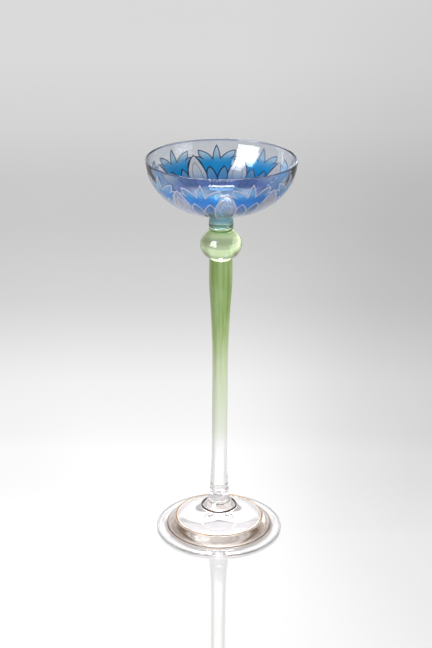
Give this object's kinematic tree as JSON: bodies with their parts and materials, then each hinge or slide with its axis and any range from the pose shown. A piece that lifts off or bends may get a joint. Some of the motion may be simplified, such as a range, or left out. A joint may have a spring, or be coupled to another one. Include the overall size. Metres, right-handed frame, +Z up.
{
  "type": "liqueur glass",
  "caption": "Long-stemmed liqueur glass with a shallow flower-painted bowl, a ball knop, a stem that fades from green to clear and a stepped foot with gilt lines.",
  "frame": {"origin": "middle of the foot's underside, on the surface that the glass stands on", "axes": "+Z up along the stem; the wreath's first flower is 94 degrees round from +X"},
  "size_m": [0.0764, 0.0764, 0.21],
  "materials": {
    "clear_glass": "blown and fire-polished, clear",
    "green_glass": "blown and fire-polished, leaf green fading to clear",
    "blue_enamel": "transparent enamel, painted and fired",
    "outline_enamel": "thin painted and fired line",
    "gilding": "fired gold line, burnished"
  },
  "bodies": {
    "root": {"foot": "clear_glass", "stem_root": "clear_glass", "stem_collar": "clear_glass", "wafer": "clear_glass", "button": "clear_glass", "bowl": "clear_glass", "stem": "green_glass", "knop": "green_glass", "gilt_line_brim": "gilding", "gilt_line_shoulder": "gilding", "gilt_line_root": "gilding", "flower_1": "blue_enamel", "flower_2": "blue_enamel", "flower_3": "blue_enamel", "flower_4": "blue_enamel", "flower_5": "blue_enamel", "flower_6": "blue_enamel", "flower_7": "blue_enamel", "flower_8": "blue_enamel", "flower_9": "blue_enamel", "scallop_line_1": "outline_enamel", "scallop_line_2": "outline_enamel", "scallop_line_3": "outline_enamel", "scallop_line_4": "outline_enamel", "scallop_line_5": "outline_enamel", "scallop_line_6": "outline_enamel", "scallop_line_7": "outline_enamel", "scallop_line_8": "outline_enamel", "scallop_line_9": "outline_enamel", "sepal_line_1": "outline_enamel", "sepal_line_2": "outline_enamel", "sepal_line_3": "outline_enamel", "sepal_line_4": "outline_enamel", "sepal_line_5": "outline_enamel", "sepal_line_6": "outline_enamel", "sepal_line_7": "outline_enamel", "sepal_line_8": "outline_enamel", "sepal_line_9": "outline_enamel"}
  },
  "joints": []
}
